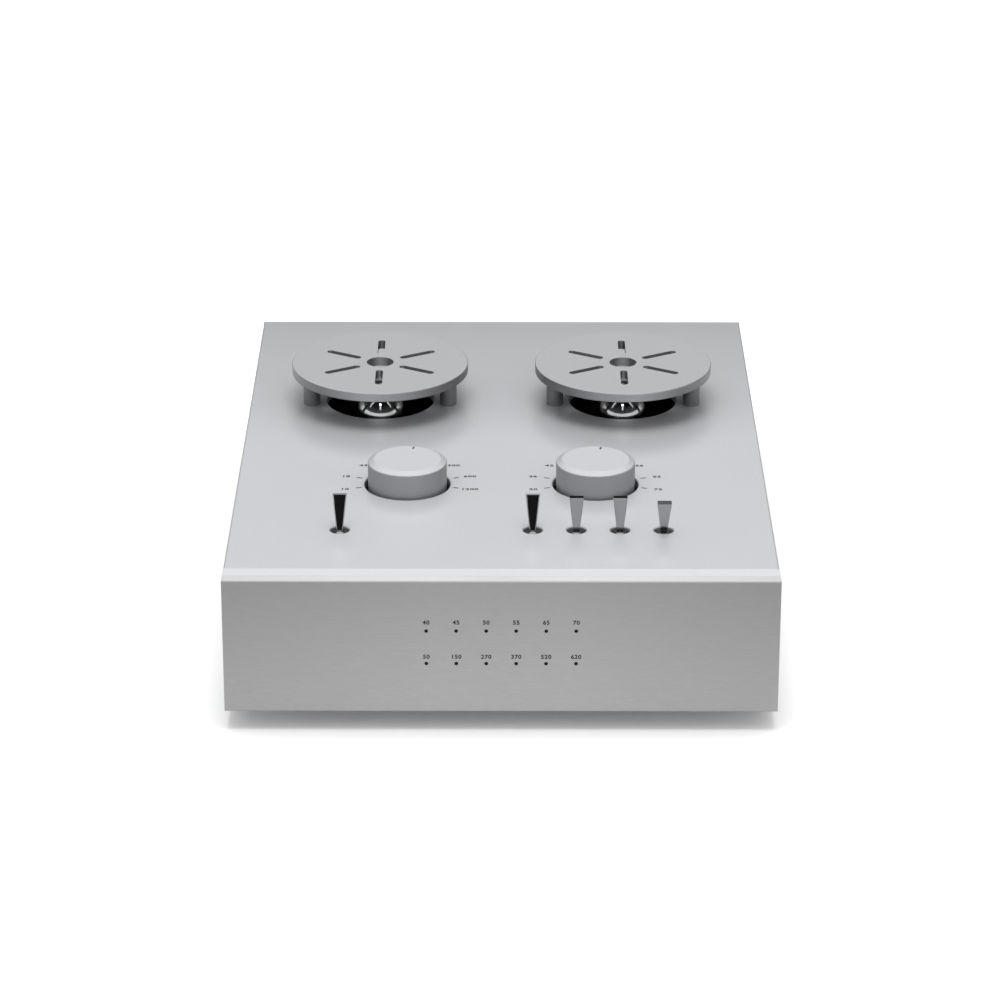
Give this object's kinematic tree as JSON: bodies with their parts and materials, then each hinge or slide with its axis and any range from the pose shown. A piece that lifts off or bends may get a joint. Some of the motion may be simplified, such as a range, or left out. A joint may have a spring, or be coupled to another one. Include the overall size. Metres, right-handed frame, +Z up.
{
  "type": "phono preamp",
  "caption": "Low aluminium phono preamplifier with shaded valves on top, two rotary dials, a row of toggle levers and rows of indicator lights on a thick fascia.",
  "frame": {"origin": "middle of the whole object's footprint, on the plane that its feet stand on", "axes": "+X to the right seen from the front, +Y from the fascia to the rear panel, +Z up"},
  "size_m": [0.21, 0.2958, 0.0786],
  "materials": {
    "case_aluminium": "fine bead-blasted, clear anodised, satin",
    "fascia_aluminium": "brushed along X, clear anodised",
    "shade_aluminium": "satin anodised",
    "dial_aluminium": "turned and satin anodised",
    "lever_chrome": "polished",
    "base_steel": "black powder coat",
    "screw_steel": "blackened",
    "bright_screw_steel": "zinc plated",
    "post_aluminium": "plain",
    "foot_rubber": "matt black",
    "tube_glass": "clear, gettered at the top",
    "tube_metal": "greyed nickel",
    "socket_ceramic": "glazed ceramic",
    "board_green": "solder mask",
    "black_plastic": "moulded",
    "switch_metal": "nickel plated",
    "can_sleeve": "shrink sleeve",
    "film_case": "moulded",
    "inductor_winding": "enamelled wire on a ring",
    "light_lens": "smoked clear, unlit",
    "light_emitter": "moulded",
    "ribbon": "flat grey cable",
    "gold": "gold plated",
    "jack_core": "moulded insulator"
  },
  "bodies": {
    "chassis": {"top_cover": "case_aluminium", "front_frame": "case_aluminium", "rear_panel": "case_aluminium", "front_fascia": "fascia_aluminium", "tube_shade_left": "shade_aluminium", "tube_shade_right": "shade_aluminium", "shade_posts": "shade_aluminium", "base_plate": "base_steel", "control_bracket": "base_steel", "case_screws": "screw_steel", "fascia_screws": "bright_screw_steel", "foot_screws": "bright_screw_steel", "shade_screws": "bright_screw_steel", "board_screws": "bright_screw_steel", "corner_posts": "post_aluminium", "bracket_pillars": "post_aluminium", "board_standoffs": "post_aluminium", "heat_sinks": "post_aluminium", "feet": "foot_rubber", "tube_glass_left": "tube_glass", "tube_glass_right": "tube_glass", "tube_electrodes": "tube_metal", "tube_pins": "tube_metal", "tube_sockets": "socket_ceramic", "main_board": "board_green", "control_board": "board_green", "light_board": "board_green", "jack_housings": "black_plastic", "ribbon_headers": "black_plastic", "chips": "black_plastic", "relays": "black_plastic", "regulators": "black_plastic", "power_inlet": "black_plastic", "rotary_housings": "switch_metal", "toggle_housings": "switch_metal", "switch_nuts": "switch_metal", "can_capacitors": "can_sleeve", "film_capacitors": "film_case", "inductor": "inductor_winding", "gain_lights": "light_lens", "capacitance_lights": "light_lens", "light_emitters": "light_emitter", "ribbon_cables": "ribbon", "jack_shells": "gold", "jack_contacts": "gold", "ground_post": "gold", "jack_insulators": "jack_core"},
    "left_dial": {"dial_left": "dial_aluminium", "dial_set_screw_left": "bright_screw_steel", "rotary_shaft_left": "switch_metal"},
    "right_dial": {"dial_right": "dial_aluminium", "dial_set_screw_right": "bright_screw_steel", "rotary_shaft_right": "switch_metal"},
    "power_toggle": {"power_lever": "lever_chrome"},
    "impedance_toggle": {"impedance_lever": "lever_chrome"},
    "capacitance_toggle": {"capacitance_lever": "lever_chrome"},
    "gain_toggle": {"gain_lever": "lever_chrome"},
    "subsonic_toggle": {"subsonic_lever": "lever_chrome"},
    "washer": {"ground_washer": "gold"},
    "thumb_nut": {"ground_nut": "gold"}
  },
  "joints": [
    {"name": "left_dial_turn", "type": "hinge", "parent": "chassis", "child": "left_dial", "pos_m": [-0.0373, -0.05275, 0.062], "axis": [0, 0, 1], "range_deg": [-90, 120]},
    {"name": "right_dial_turn", "type": "hinge", "parent": "chassis", "child": "right_dial", "pos_m": [0.0373, -0.05275, 0.062], "axis": [0, 0, 1], "range_deg": [-90, 120]},
    {"name": "power_toggle_tilt", "type": "hinge", "parent": "chassis", "child": "power_toggle", "pos_m": [-0.0624, -0.09895, 0.0596], "axis": [1, 0, 0], "range_deg": [0, 30]},
    {"name": "impedance_toggle_tilt", "type": "hinge", "parent": "chassis", "child": "impedance_toggle", "pos_m": [0.0121, -0.09895, 0.0596], "axis": [1, 0, 0], "range_deg": [0, 30]},
    {"name": "capacitance_toggle_tilt", "type": "hinge", "parent": "chassis", "child": "capacitance_toggle", "pos_m": [0.02895, -0.09895, 0.0596], "axis": [1, 0, 0], "range_deg": [-15, 15], "stiffness_Nm_per_rad": 0.01},
    {"name": "gain_toggle_tilt", "type": "hinge", "parent": "chassis", "child": "gain_toggle", "pos_m": [0.0458, -0.09895, 0.0596], "axis": [1, 0, 0], "range_deg": [-15, 15], "stiffness_Nm_per_rad": 0.01},
    {"name": "subsonic_toggle_tilt", "type": "hinge", "parent": "chassis", "child": "subsonic_toggle", "pos_m": [0.06265, -0.09895, 0.0596], "axis": [1, 0, 0], "range_deg": [-30, 0]},
    {"name": "ground_washer_slide", "type": "slide", "parent": "chassis", "child": "washer", "axis": [0, 1, 0], "range_m": [0, 0.0032]},
    {"name": "ground_nut_turn", "type": "hinge", "parent": "washer", "child": "thumb_nut", "pos_m": [0.05, 0.13745, 0.0355], "axis": [0, 1, 0], "range_deg": [0, 1440]}
  ],
  "couplings": [
    {"joint": "ground_washer_slide", "follows": "ground_nut_turn", "m_per_rad": 0.00012732}
  ]
}
